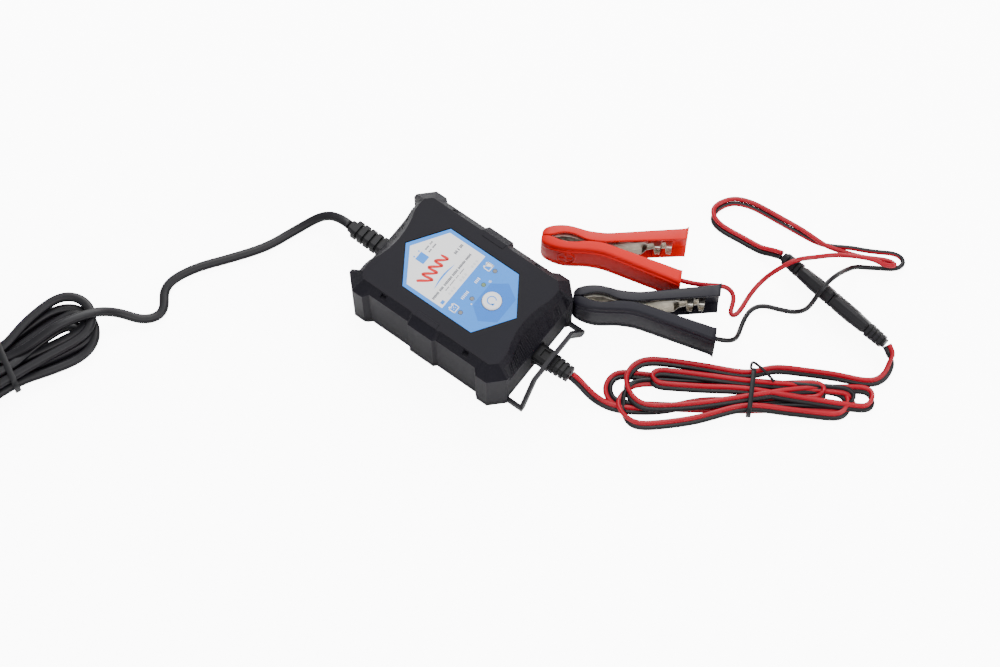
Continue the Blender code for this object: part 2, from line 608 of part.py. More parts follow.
SPRING_R = 2.12
SPRING_WIRE = 0.38
SPRING_LONG = 8.4
SPRING_TURNS = 6


def spring(name, frame):
    """Coil round the pivot pin."""
    n = 10
    cu = bpy.data.curves.new(name, "CURVE")
    cu.dimensions = "3D"
    cu.bevel_depth = SPRING_WIRE * MM
    cu.bevel_resolution = 1
    cu.use_fill_caps = True
    sp = cu.splines.new("POLY")
    sp.points.add(SPRING_TURNS * n)
    for i in range(SPRING_TURNS * n + 1):
        u = 2 * math.pi * i / n
        z = SPRING_LONG * (i / (SPRING_TURNS * n) - 0.5)
        p = (frame @ Vector((SPRING_R * math.cos(u), SPRING_R * math.sin(u), z))) * MM
        sp.points[i].co = (p[0], p[1], p[2], 1.0)
    ob = bpy.data.objects.new(name, cu)
    bpy.context.scene.collection.objects.link(ob)
    cu.materials.append(steel_m)


def clamp(prefix, nose, ang, material):
    """One insulated clamp lying on its side: two covers, two pressed jaws, pivot pin and spring."""
    a = math.radians(ang)
    piv = (nose[0] + CLAMP_JAW * math.cos(a), nose[1] + CLAMP_JAW * math.sin(a), CLAMP_H / 2 + 0.05)
    f = Matrix.Translation(piv) @ Matrix.Rotation(a, 4, "Z")
    halves = [cover(prefix + "_cover_far", 1, material, f),
              jaw(prefix + "_jaw_far", 1, 7.7, nickel_m, f)]
    for ob in halves:
        set_origin(ob, piv)
    cover(prefix + "_cover_near", -1, material, f)
    jaw(prefix + "_jaw_near", -1, 6.6, nickel_m, f)
    lathe(prefix + "_pivot_pin", [(-8.7, 2.0), (-8.4, 2.3), (-7.9, 2.3), (-7.9, 1.5), (7.9, 1.5), (7.9, 2.3),
                                  (8.4, 2.3), (8.7, 2.0)], nickel_m, f, 16)
    spring(prefix + "_spring", f)


clamp("red_clamp", RED_NOSE, RED_ANG, red_m)
clamp("black_clamp", BLACK_NOSE, BLACK_ANG, blk_m)
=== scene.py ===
import json
import math
import bpy
import bmesh
from mathutils import Matrix, Vector

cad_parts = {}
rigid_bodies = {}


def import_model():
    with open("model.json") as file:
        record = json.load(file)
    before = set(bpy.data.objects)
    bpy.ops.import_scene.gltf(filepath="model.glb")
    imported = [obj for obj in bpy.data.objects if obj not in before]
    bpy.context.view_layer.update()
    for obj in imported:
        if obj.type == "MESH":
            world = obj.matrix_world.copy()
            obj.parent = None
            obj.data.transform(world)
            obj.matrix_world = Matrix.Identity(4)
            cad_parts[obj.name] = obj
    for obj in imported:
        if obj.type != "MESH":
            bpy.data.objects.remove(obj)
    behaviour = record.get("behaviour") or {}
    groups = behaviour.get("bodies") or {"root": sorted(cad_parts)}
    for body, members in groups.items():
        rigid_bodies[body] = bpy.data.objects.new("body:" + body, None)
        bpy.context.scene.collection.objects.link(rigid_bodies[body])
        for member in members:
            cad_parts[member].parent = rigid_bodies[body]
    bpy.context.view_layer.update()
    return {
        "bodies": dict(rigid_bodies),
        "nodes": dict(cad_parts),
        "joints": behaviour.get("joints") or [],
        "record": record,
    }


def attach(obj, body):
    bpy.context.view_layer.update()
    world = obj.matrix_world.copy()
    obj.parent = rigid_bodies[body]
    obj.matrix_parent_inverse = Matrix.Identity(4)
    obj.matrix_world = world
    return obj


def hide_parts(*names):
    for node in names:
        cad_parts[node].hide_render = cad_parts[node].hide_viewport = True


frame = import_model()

# ---- The studio -------------------------------------------------------------------------------
# The charger and its leads are laid out on a white sweep under broad soft boxes, and looked down
# on from over the near long side. The sweep glows, which hides most of the shadows on it. The glow
# is linked to the sweep alone, so it doesn't light the part.
SWEEP_GLOW = 9.0
ROOM_LIGHT = 0.62
camera_spot = Vector((0.3316, -0.4093, 1.1249))
camera_aim = Vector((0.02406, 0.00154, 0.0))
camera_lens = bpy.data.cameras.new("camera")
camera_lens.sensor_width = 36.0
camera_lens.lens = 84.6
camera_lens.clip_end = 20.0
camera = bpy.data.objects.new("camera", camera_lens)
camera.location = camera_spot
camera.rotation_mode = "QUATERNION"
camera.rotation_quaternion = (camera_aim - camera_spot).to_track_quat("-Z", "Y")
bpy.context.scene.collection.objects.link(camera)
bpy.context.scene.camera = camera


def soft_box(name, spot, aim, size, power):
    """A square area light of the given size in metres, pointed at aim."""
    data = bpy.data.lights.new(name, "AREA")
    data.size = size
    data.energy = power
    lamp = bpy.data.objects.new(name, data)
    lamp.location = spot
    lamp.rotation_mode = "QUATERNION"
    lamp.rotation_quaternion = (Vector(aim) - Vector(spot)).to_track_quat("-Z", "Y")
    bpy.context.scene.collection.objects.link(lamp)


soft_box("back_box", (-0.75, 1.05, 1.15), (0.0, 0.0, 0.0), 1.1, 25.0)
soft_box("end_box", (1.3, 0.15, 0.75), (0.05, 0.0, 0.0), 0.8, 8.0)
soft_box("front_fill", (0.3, -1.3, 0.8), (0.05, 0.0, 0.0), 0.9, 4.0)
soft_box("top_box", (0.1, 0.0, 1.9), (0.0, 0.0, 0.0), 1.4, 15.0)

world = bpy.data.worlds.new("white_room")
world.use_nodes = True
world.node_tree.nodes["Background"].inputs["Color"].default_value = (1.0, 1.0, 1.0, 1.0)
world.node_tree.nodes["Background"].inputs["Strength"].default_value = ROOM_LIGHT
bpy.context.scene.world = world

floor_mesh = bpy.data.meshes.new("floor")
floor_bm = bmesh.new()
bmesh.ops.create_grid(floor_bm, x_segments=1, y_segments=1, size=6.0)
floor_bm.to_mesh(floor_mesh)
floor_bm.free()
floor = bpy.data.objects.new("floor", floor_mesh)
bpy.context.scene.collection.objects.link(floor)
floor_white = bpy.data.materials.new("sweep_white")
floor_white.use_nodes = True
sweep = floor_white.node_tree.nodes["Principled BSDF"].inputs
sweep["Base Color"].default_value = (0.93, 0.93, 0.93, 1.0)
sweep["Roughness"].default_value = 0.95
sweep["Emission Color"].default_value = (1.0, 1.0, 1.0, 1.0)
sweep["Emission Strength"].default_value = SWEEP_GLOW
floor_mesh.materials.append(floor_white)
floor_only = bpy.data.collections.new("floor_only")
floor_only.objects.link(floor)
floor.light_linking.receiver_collection = floor_only

# ---- Mains lead -------------------------------------------------------------------------------
# Flat two-core PVC lead, 5.2 x 3.2 mm, satin black with a faint mould line on each flat. It drops
# from the gland to the table, wanders, and is folded into a tied hank with its plug beyond it.
MM = 0.001


def smooth_route(points, step, relax):
    """A Catmull-Rom curve through rows of x, y, z, twist (millimetres, degrees), evenly spaced and then
    relaxed the given number of times, as a springy lead takes the kinks out of itself."""
    rows = [tuple(p) + (0.0,) * (4 - len(p)) for p in points]
    rows = [tuple(2 * a - b for a, b in zip(rows[0], rows[1]))] + rows
    rows.append(tuple(2 * a - b for a, b in zip(rows[-1], rows[-2])))
    fine = []
    for i in range(1, len(rows) - 2):
        a, b, c, d = rows[i - 1:i + 3]
        for k in range(10):
            t = k / 10.0
            fine.append(tuple(
                0.5 * (2 * q + (r - p) * t + (2 * p - 5 * q + 4 * r - s) * t * t
                       + (3 * q - p - 3 * r + s) * t ** 3)
                for p, q, r, s in zip(a, b, c, d)))
    fine.append(rows[-2])
    gaps = [math.dist(p[:3], q[:3]) for p, q in zip(fine[:-1], fine[1:])]
    count = max(2, round(sum(gaps) / step))
    even = [fine[0]]
    done = 0.0
    j = 0
    for k in range(1, count):
        want = sum(gaps) * k / count
        while done + gaps[j] < want:
            done += gaps[j]
            j += 1
        share = (want - done) / gaps[j]
        even.append(tuple(p + (q - p) * share for p, q in zip(fine[j], fine[j + 1])))
    even.append(fine[-1])
    for _ in range(relax):
        even[1:-1] = [tuple((p + 2 * q + r) / 4 for p, q, r in zip(*even[i - 1:i + 2]))
                      for i in range(1, len(even) - 1)]
    return even


def cross_axes(route, lean):
    """For each point of a route its centre, side axis and top axis, the side kept near lean."""
    spots = [Vector(p[:3]) for p in route]
    out = []
    for i, spot in enumerate(spots):
        ahead = (spots[min(i + 1, len(spots) - 1)] - spots[max(i - 1, 0)]).normalized()
        side = (Vector(lean) - ahead * ahead.dot(Vector(lean))).normalized()
        side = Matrix.Rotation(math.radians(route[i][3]), 3, ahead) @ side
        out.append((spot, side, ahead.cross(side)))
    return out


RESTS = 0.04 * MM      # no point of a lead's skin is left lower than this


def drawn_lead(name, axes, outline, finishes, paint):
    """A lead drawn along its axes: outline gives (side, top) in mm, paint each side's finish."""
    bm = bmesh.new()
    rings = []
    for spot, side, top in axes:
        places = [(spot + side * a + top * b) * MM for a, b in outline]
        for place in places:
            place.z = max(place.z, RESTS)
        rings.append([bm.verts.new(place) for place in places])
    count = len(outline)
    for near, far in zip(rings[:-1], rings[1:]):
        for j in range(count):
            k = (j + 1) % count
            face = bm.faces.new((near[j], near[k], far[k], far[j]))
            face.smooth = True
            face.material_index = paint[j]
    bm.faces.new(rings[0][::-1])
    bm.faces.new(rings[-1])
    bmesh.ops.recalc_face_normals(bm, faces=bm.faces)
    mesh = bpy.data.meshes.new(name)
    bm.to_mesh(mesh)
    bm.free()
    for finish in finishes:
        mesh.materials.append(finish)
    lead = bpy.data.objects.new(name, mesh)
    bpy.context.scene.collection.objects.link(lead)
    return lead


GLOSS_DRIFT = 0.08


def moulded(name, colour, rough, grain, depth, spread=0.18, coat=0.0, shine=0.3):
    """Moulded plastic or rubber: colour drifts a little, grain (mm) pits it, gloss wanders."""
    finish = bpy.data.materials.new(name)
    finish.use_nodes = True
    nodes = finish.node_tree.nodes
    link = finish.node_tree.links.new
    shader = nodes["Principled BSDF"]
    shader.inputs["Coat Weight"].default_value = coat
    shader.inputs["Coat Roughness"].default_value = 0.25
    shader.inputs["Specular IOR Level"].default_value = shine
    place = nodes.new("ShaderNodeTexCoord")
    drift = nodes.new("ShaderNodeTexNoise")
    drift.inputs["Scale"].default_value = 45.0
    drift.inputs["Detail"].default_value = 4.0
    tint = nodes.new("ShaderNodeValToRGB")
    tint.color_ramp.elements[0].position = 0.3
    tint.color_ramp.elements[1].position = 0.7
    tint.color_ramp.elements[0].color = [c * (1.0 - spread) for c in colour] + [1.0]
    tint.color_ramp.elements[1].color = [min(1.0, c * (1.0 + spread)) for c in colour] + [1.0]
    pits = nodes.new("ShaderNodeTexNoise")
    pits.inputs["Scale"].default_value = 1000.0 / grain
    pits.inputs["Detail"].default_value = 3.0
    gloss = nodes.new("ShaderNodeMapRange")
    gloss.inputs["To Min"].default_value = rough - GLOSS_DRIFT
    gloss.inputs["To Max"].default_value = rough + GLOSS_DRIFT
    bump = nodes.new("ShaderNodeBump")
    bump.inputs["Strength"].default_value = 0.6
    bump.inputs["Distance"].default_value = depth * MM
    link(place.outputs["Object"], drift.inputs["Vector"])
    link(place.outputs["Object"], pits.inputs["Vector"])
    link(drift.outputs["Fac"], tint.inputs["Fac"])
    link(tint.outputs["Color"], shader.inputs["Base Color"])
    link(pits.outputs["Fac"], gloss.inputs["Value"])
    link(gloss.outputs["Result"], shader.inputs["Roughness"])
    link(pits.outputs["Fac"], bump.inputs["Height"])
    link(bump.outputs["Normal"], shader.inputs["Normal"])
    return finish


def folded_hank(middle, along, slots, folds):
    """Points of a tied hank in mm. A slot is one strand at the tie: across, height, twist. A fold joins it
    to the next slot: reach from the tie (signed), across going out, across coming back, and both heights."""
    points = []

    def put(u, v, z, twist):
        points.append((middle[0] + u * along[0] - v * along[1],
                       middle[1] + u * along[1] + v * along[0], z, twist))

    for (v0, z0, t0), (v1, z1, t1), fold in zip(slots[:-1], slots[1:], folds):
        reach, out, back, z_out, z_back = fold
        bend = abs(out - back) / 2
        way = 1 if reach > 0 else -1
        centre = (out + back) / 2
        root = reach - way * bend
        put(0.0, v0, z0, t0)
        put(root * 0.5, 0.35 * v0 + 0.65 * out, (z0 + z_out) / 2, t0)
        for k in range(5):
            a = math.pi * k / 4
            share = k / 4
            put(root + way * bend * math.sin(a), centre + (out - centre) * math.cos(a),
                z_out + (z_back - z_out) * share, t0 + (t1 - t0) * share)
        put(root * 0.5, 0.35 * v1 + 0.65 * back, (z1 + z_back) / 2, t1)
    put(0.0, *slots[-1])
    return points


MAINS_WIDE = 5.2
MAINS_THICK = 3.2
mains_outline = []
for quarter, (side_x, side_y) in enumerate(((1, 1), (-1, 1), (-1, -1), (1, -1))):
    for k in range(4):
        a = math.pi / 2 * (quarter + (k + 0.5) / 4)
        mains_outline.append((side_x * (MAINS_WIDE - MAINS_THICK) / 2 + MAINS_THICK / 2 * math.cos(a),
                              MAINS_THICK / 2 * math.sin(a)))
    if quarter % 2 == 0:
        mains_outline.append((0.0, side_y * (MAINS_THICK / 2 - 0.16)))

mains_start = [(-74.6, 0, 12), (-79, 0.6, 11.4), (-91, -1, 6), (-99, -15, 2.2), (-106, -33, 1.7),
               (-117, -50, 1.7), (-127, -64, 1.7), (-133, -77, 1.7), (-133, -86, 1.7), (-127, -92, 1.7),
               (-125, -98, 1.7), (-131, -106, 2.4), (-142, -110.5, 4.6), (-151, -120, 10.0),
               (-160, -138, 12.2), (-164.5, -154, 10.6)]
mains_slots = [(6.3, 8.4, 0), (-5.1, 8.4, 0), (12.0, 8.4, 0), (-8.0, 5.1, 0), (14.5, 5.1, 0), (3.3, 5.1, 0),
               (9.0, 5.1, 0), (-2.4, 5.1, 0), (12.0, 1.8, 0), (-5.1, 1.8, 0), (6.3, 1.8, 0), (0.6, 1.8, 0),
               (0.6, 8.4, 0)]
mains_folds = [(-66, 8, -6, 9.0, 8.6), (52, -4, 23, 7.6, 7.4), (-71, 15, -11, 6.6, 5.2),
               (50, -12, 19, 3.6, 4.2), (-60, 18, 3, 5.4, 7.4), (47, 0, 12, 6.4, 5.6),
               (-62, 10, -4, 4.6, 4.2), (49, -6, 16, 5.0, 1.8), (-69, 14, -8, 1.8, 1.8),
               (44, -9, 10, 1.8, 1.8), (-56, 9, -5, 2.2, 3.0), (41, -3, 8, 3.4, 4.4)]
mains_end = [(-177.0, -196.0, 9.6), (-178.5, -214.0, 9.4), (-177.6, -229.0, 5.6), (-176.2, -241.0, 2.2),
             (-172.6, -251.7, 2.2), (-164.6, -259.7, 4.0), (-157.1, -265.7, 7.0)]
MAINS_TIE = (-165.6, -170.0)
MAINS_ALONG = (0.36, 0.933)
mains_points = (mains_start + folded_hank(MAINS_TIE, MAINS_ALONG, mains_slots, mains_folds) + mains_end)
mains_route = smooth_route(mains_points, 2.0, 7)
mains_pvc = moulded("mains_pvc", (0.008, 0.0075, 0.010), 0.33, 0.5, 0.02)
mains_lead = drawn_lead("mains_lead", cross_axes(mains_route, (0, 0, 1)),
                        [(b, a) for a, b in mains_outline], [mains_pvc], [0] * len(mains_outline))
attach(mains_lead, "charger")
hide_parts("mains_cord", "mains_hank", "mains_cord_end")


def tie_band(name, middle, along, half, low, high, wide, thick, shift, finish):
    """Closed band round a bundle: half across, low to high, shift along the bundle, all in mm."""
    bm = bmesh.new()
    corner = 3.2
    loop = []
    for quarter, (cx, cz) in enumerate(((half - corner, high - corner), (corner - half, high - corner),
                                        (corner - half, low + corner), (half - corner, low + corner))):
        for k in range(7):
            a = math.pi / 2 * (quarter + k / 6)
            loop.append((cx, cz, math.cos(a), math.sin(a)))
    rings = []
    for cx, cz, nx, nz in loop:
        ring = []
        for out, side in ((0, -0.5), (0.75, -0.5), (1, -0.28), (1, 0.28), (0.75, 0.5), (0, 0.5)):
            v = cx + nx * (corner + out * thick)
            z = cz + nz * (corner + out * thick)
            u = side * wide + shift * v / half
            ring.append(bm.verts.new(Vector((middle[0] + u * along[0] - v * along[1],
                                             middle[1] + u * along[1] + v * along[0], z)) * MM))
        rings.append(ring)
    for i, ring in enumerate(rings):
        other = rings[(i + 1) % len(rings)]
        for j in range(6):
            face = bm.faces.new((ring[j], ring[(j + 1) % 6], other[(j + 1) % 6], other[j]))
            face.smooth = True
    bmesh.ops.recalc_face_normals(bm, faces=bm.faces)
    mesh = bpy.data.meshes.new(name)
    bm.to_mesh(mesh)
    bm.free()
    mesh.materials.append(finish)
    mesh.set_sharp_from_angle(angle=math.radians(40))
    band = bpy.data.objects.new(name, mesh)
    bpy.context.scene.collection.objects.link(band)
    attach(band, "charger")
    return band


# The tie is a closed soft PVC strap round the middle of the hank.
tie_pvc = moulded("tie_pvc", (0.006, 0.006, 0.008), 0.4, 0.6, 0.02)
mains_mid = (MAINS_TIE[0] - 3.2 * MAINS_ALONG[1], MAINS_TIE[1] + 3.2 * MAINS_ALONG[0])
mains_tie = tie_band("mains_tie_strap", mains_mid, MAINS_ALONG, 14.6, 0.95, 10.6, 3.2, 0.8, 1.5, tie_pvc)
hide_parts("mains_tie")

# ---- Output lead ------------------------------------------------------------------------------
# Red and black 2.6 mm cores moulded side by side, red kept to the far side along most of its run.
# It is folded to and fro into a flat hank, tied with a coated wire, and ends at the connector.
CORE = 1.3
twin_outline = []
twin_paint = []
CORE_SIDES = 12
for hand in (1, -1):
    for k in range(CORE_SIDES + 1):
        a = math.radians(-160 + 320 * k / CORE_SIDES)
        twin_outline.append((hand * (CORE - 0.02 + CORE * math.cos(a)), hand * CORE * math.sin(a)))
        twin_paint.append(0 if hand == 1 else 1)
FAR_LEAN = (-0.50, 0.66, 0.56)


def wire_pvc(name, colour):
    """Smooth extruded PVC, slightly wavy, with a soft shine."""
    return moulded(name, colour, 0.34, 0.8, 0.03, spread=0.12, shine=0.34)


red_pvc = wire_pvc("red_pvc", (0.40, 0.0008, 0.014))
black_pvc = wire_pvc("black_pvc", (0.0065, 0.006, 0.0082))

output_start = [(71.2, 0, 12.5), (74.5, 0.1, 11.6), (79.5, 0.3, 7.2), (84.5, 0.4, 3.4), (92.0, 1.2, 1.6),
                (98.8, 3.4, 1.5), (106.0, 7.6, 1.5), (118.0, 17.0, 1.6), (132.0, 32.5, 2.0)]
output_slots = [(-4.2, 1.6, 0), (3.4, 1.6, 0), (-8.6, 3.0, 180), (5.6, 4.2, 180), (-9.0, 5.6, 0),
                (4.6, 6.8, 0), (0.0, 7.0, 0), (-4.4, 7.0, 0), (9.4, 6.4, 0)]
output_folds = [(41, 0.5, 8.0, 3.2, 5.2), (-71.5, 5, -12, 1.6, 1.6), (56.5, -3, 6.5, 1.6, 4.6),
                (-64, 0.5, -23, 4.4, 1.8), (54, -7.4, 6.5, 1.6, 2.2), (-49, 6.0, -1.5, 7.0, 6.6),
                (66.5, -1.8, 9.3, 2.4, 1.7), (-62, -13.5, 12.6, 4.8, 4.8)]
output_end = [(152.0, 68.0, 6.6), (166.0, 77.5, 4.4), (180.0, 86.0, 2.4), (191.0, 91.0, 1.9),
              (197.6, 95.4, 1.9),
              (199.8, 100.5, 2.6), (199.4, 106, 3.8), (196.6, 111.6, 6.5), (191.9, 113.7, 8.7)]
OUTPUT_TIE = (147.07, 49.14)
OUTPUT_ALONG = (0.8585, 0.513)
output_points = (output_start + folded_hank(OUTPUT_TIE, OUTPUT_ALONG, output_slots, output_folds)
                 + output_end)
output_route = smooth_route(output_points, 1.6, 7)
output_lead = drawn_lead("output_lead", cross_axes(output_route, FAR_LEAN), twin_outline,
                         [red_pvc, black_pvc], twin_paint)
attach(output_lead, "charger")
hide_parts("output_lead_start", "output_hank", "output_lead_end")

output_mid = (OUTPUT_TIE[0] + 3.0 * OUTPUT_ALONG[0], OUTPUT_TIE[1] + 3.0 * OUTPUT_ALONG[1])
output_tie = tie_band("output_tie_loop", output_mid, OUTPUT_ALONG, 12.6, 1.05, 8.8, 2.4, 0.9, 0.6, tie_pvc)
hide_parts("output_tie")


def round_wire(name, points, radius, finish):
    """A thin round wire along given points, mm."""
    outline = [(radius * math.cos(math.pi * k / 5), radius * math.sin(math.pi * k / 5)) for k in range(10)]
    return drawn_lead(name, cross_axes(smooth_route(points, 0.8, 1), (0.3, 0.2, 0.93)), outline,
                      [finish], [0] * 10)


# Its twisted ends lean over the top of the hank and back along it.
tie_tail = round_wire("output_tie_tail", [(142.6, 60.4, 8.6), (141.4, 62.6, 10.6), (143.4, 63.2, 11.2),
                                          (150.0, 62.6, 10.4), (156.4, 61.4, 8.9)], 0.75, tie_pvc)
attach(tie_tail, "charger")

# ---- Clamp leads ------------------------------------------------------------------------------
# Past the connector the two cores run as a pair round one long bend and are then torn apart; the
# red one doubles back to the red clamp and the black one to the black clamp.
pair_points = [(118.7, 124.4, 8.7), (114.6, 124.6, 6.6), (107, 123, 3), (97, 123, 1.8), (87, 122, 1.8),
               (80, 122, 1.8), (73.5, 125, 1.8), (73, 130, 1.8), (76, 137, 1.8), (80, 140.5, 1.8),
               (89, 143.5, 1.8), (102, 144.5, 1.8), (117, 145.5, 1.8), (130, 146, 1.8, 60),
               (138.2, 148.2, 1.9, 120)]
red_points = [(145.5, 150.2, 1.5), (153, 153.0, 1.5), (164.4, 159.0, 1.7), (169.8, 158.2, 3.4),
              (165.4, 154.0, 5.4),
              (157, 152, 6.4), (143, 144.4, 6.0), (134, 134, 9.5), (128, 122.5, 17.2), (123, 115, 13.5),
              (119, 109, 7), (117.5, 101, 4.6), (117.3, 95, 2.2), (117.9, 88, 1.6), (117.4, 83, 1.6),
              (115.2, 82.2, 1.6), (113.4, 86, 1.6), (111.6, 91, 1.8), (108.4, 93.6, 3), (104, 92.4, 5.5),
              (98, 87, 8.5), (92, 82.4, 10.4), (85, 79, 11.3)]
black_points = [(144.5, 153.6, 1.5), (150.5, 156.4, 1.5), (158, 160.4, 1.6), (164, 164, 1.6),
                (169, 165, 1.6),
                (172.4, 162, 1.6), (170, 157, 1.6), (164, 153, 1.6), (158, 149, 1.6), (153, 145, 3),
                (151, 138, 8.5), (150, 128, 17.5), (149, 119, 21), (148.5, 112, 18.5), (147, 107.5, 9),
                (144, 105.5, 3.2), (140, 103, 1.7), (133, 100, 1.6), (127, 97.6, 1.6), (123, 93.5, 1.6),
                (122.2, 87, 1.6), (124, 79, 1.6), (125.6, 73, 3), (124, 66.6, 8), (117, 61.4, 11.3)]
pair_axes = cross_axes(smooth_route(pair_points, 1.6, 5), FAR_LEAN)


def single_core(name, hand, points, finish):
    """One core: first half of the pair, then on its own way to its clamp."""
    paired = [tuple(spot + side * (hand * CORE)) for spot, side, top in pair_axes]
    route = smooth_route(paired[::4] + points, 1.4, 4)
    outline = [(CORE * math.cos(2 * math.pi * k / 16), CORE * math.sin(2 * math.pi * k / 16))
               for k in range(16)]
    paint = [1 if hand == -1 and k in (4, 5) else 0 for k in range(16)]
    core = drawn_lead(name, cross_axes(route, FAR_LEAN), outline, [finish, red_pvc], paint)
    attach(core, "charger")
    return core, [tuple(c * MM for c in p[:3]) for p in route]


red_core, red_path = single_core("red_clamp_lead", 1, red_points, red_pvc)
black_core, black_path = single_core("black_clamp_lead", -1, black_points, black_pvc)
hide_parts("clamp_lead_twin", "clamp_lead_red")
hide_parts("clamp_lead_black")


connector_pieces = [bpy.data.objects[n] for n in ("connector_plug", "connector_socket")]
connector_pieces += [output_tie, tie_tail]

# ---- Clamp covers -----------------------------------------------------------------------------
# Each clamp half wears a moulded PVC channel, open towards the other half, with a bead along its back
# and a flared end. The red one has a ringed plus sign raised beside its nose.
NOSE_REACH = 33.0      # nose to pivot, mm
CLAMP_SPAN = 76.0      # nose to the ends of the handles
PIVOT_HIGH = 11.3      # middle of the pivot above the table
BEAD_TALL = 0.62
COVER_LONG = [-NOSE_REACH + CLAMP_SPAN * k / 95 for k in range(96)]
BACK = ((-33, 2.9), (-32.4, 3.9), (-31.4, 4.8), (-29, 5.8), (-25, 6.75), (-20, 7.1), (-15, 6.7),
        (-10, 6.05), (-6, 5.8), (0, 5.95), (5, 6.9), (20, 10.6), (38, 15.1), (41.6, 16.2), (43, 17.2))
LIP = ((-33, 0.25), (-29, 0.28), (-27, 0.75), (-25, 1.5), (-22, 2.35), (-19, 2.6), (-15, 2.15), (-12, 1.25),
       (-9, 0.5), (-6, 0.26), (0, 0.35), (5, 1.35), (10, 2.4), (40.8, 8.9), (43, 9.4))
DEEP = ((-33, 8.2), (-32, 9.0), (-29, 9.9), (-20, 11.0), (-10, 10.7), (0, 11.15), (36, 10.75), (41.2, 10.6),
        (43, 11.15))
WALL = 1.5


def read_curve(rows, x):
    """Value at x of a curve through the rows, eased between them."""
    rows = list(rows)
    i = max(k for k in range(len(rows) - 1) if rows[k][0] <= x + 1e-9)
    (x0, y0), (x1, y1) = rows[i], rows[i + 1]
    before = rows[i - 1] if i else rows[i]
    after = rows[i + 2] if i + 2 < len(rows) else rows[i + 1]
    m0 = (y1 - before[1]) / (x1 - before[0]) * (x1 - x0)
    m1 = (after[1] - y0) / (after[0] - x0) * (x1 - x0)
    t = (x - x0) / (x1 - x0)
    return ((2 * t ** 3 - 3 * t ** 2 + 1) * y0 + (t ** 3 - 2 * t ** 2 + t) * m0
            + (3 * t ** 2 - 2 * t ** 3) * y1 + (t ** 3 - t ** 2) * m1)


def skin(name, rings, finishes, place, crease=34):
    """Closed mesh over rings of (x, y, z) in mm, set into place, with flat ends."""
    bm = bmesh.new()
    rows = [[bm.verts.new(place @ Vector(p)) for p in ring] for ring in rings]
    count = len(rings[0])
    for near, far in zip(rows[:-1], rows[1:]):
        for j in range(count):
            k = (j + 1) % count
            bm.faces.new((near[j], near[k], far[k], far[j]))
    bm.faces.new(rows[0][::-1])
    bm.faces.new(rows[-1])
    for vert in bm.verts:
        vert.co = vert.co * MM
    bmesh.ops.recalc_face_normals(bm, faces=bm.faces)
    for face in bm.faces:
        face.smooth = True
    mesh = bpy.data.meshes.new(name)
    bm.to_mesh(mesh)
    bm.free()
    for finish in finishes:
        mesh.materials.append(finish)
    mesh.set_sharp_from_angle(angle=math.radians(crease))
    piece = bpy.data.objects.new(name, mesh)
    bpy.context.scene.collection.objects.link(piece)
    return piece


def cover_section(x, hand):
    """Cross-section of a cover at x: lip, rounded shoulder, bead, back, and the same inside."""
    back = read_curve(BACK, x)
    lip = read_curve(LIP, x)
    high = read_curve(DEEP, x)
    fade = min(1.0, max(0.0, (x + NOSE_REACH) / 5.0))
    bead = BEAD_TALL * fade
    deep = min(back - WALL, max(lip + 0.35, back - 1.9))
    half = [(lip, high - 0.35), (lip + 0.3, high), (back - 1.5, high), (back - 0.7, high - 0.25),
            (back - 0.15, high - 0.85), (back + 0.05, high - 1.7), (back + 0.12, high - 3.0),
            (back + 0.12 + bead * 0.8, high - 3.35), (back + 0.12 + bead, high - 3.8),
            (back + 0.12 + bead * 0.8, high - 4.25), (back + 0.2, high - 4.6), (back + 0.45, high * 0.3)]
    inner = [(deep, 0.0), (deep, high - WALL - 0.8), (deep - 0.25, high - WALL - 0.1),
             (max(lip, deep - 1.0), high - WALL), (lip, high - WALL)]
    ring = half + [(y, -z) for y, z in reversed(half)]
    ring += [(y, -z) for y, z in reversed(inner)] + inner[1:]
    return [(x, hand * y, z) for y, z in ring]


def clamp_place(nose, angle):
    """Frame at a clamp's pivot: x towards the handles, y towards the far half, z up."""
    a = math.radians(angle)
    spot = (nose[0] + NOSE_REACH * math.cos(a), nose[1] + NOSE_REACH * math.sin(a), PIVOT_HIGH)
    return Matrix.Translation(spot) @ Matrix.Rotation(a, 4, "Z")


EASE_STEPS = 2
HARD_ANGLE = 30


def softened(piece, width):
    """Rounds a piece's hard edges by width mm."""
    bevel = piece.modifiers.new("eased_edges", "BEVEL")
    bevel.width = width * MM
    bevel.segments = EASE_STEPS
    bevel.limit_method = "ANGLE"
    bevel.angle_limit = math.radians(HARD_ANGLE)
    bevel.use_clamp_overlap = True
    bevel.harden_normals = False
    return piece


red_cover = moulded("red_cover_pvc", (0.72, 0.0035, 0.0015), 0.4, 0.5, 0.012, spread=0.06, shine=0.25)
black_cover = moulded("black_cover_pvc", (0.0095, 0.0085, 0.015), 0.42, 0.5, 0.012, spread=0.1, shine=0.25)
CLAMPS = (("red_clamp", clamp_place((12.8, 53.4), 27.1), red_cover, "cover_red"),
          ("black_clamp", clamp_place((46.9, 34.6), 29.0), black_cover, "cover_black"))


def small_block(name, lo, hi, place, finish, ease=0.0):
    """A box from lo to hi in mm, set into place, edges eased."""
    ring = [(lo[1], lo[2]), (hi[1], lo[2]), (hi[1], hi[2]), (lo[1], hi[2])]
    piece = skin(name, [[(x, y, z) for y, z in ring] for x in (lo[0], hi[0])], [finish], place, 20)
    if ease:
        softened(piece, ease)
    return piece


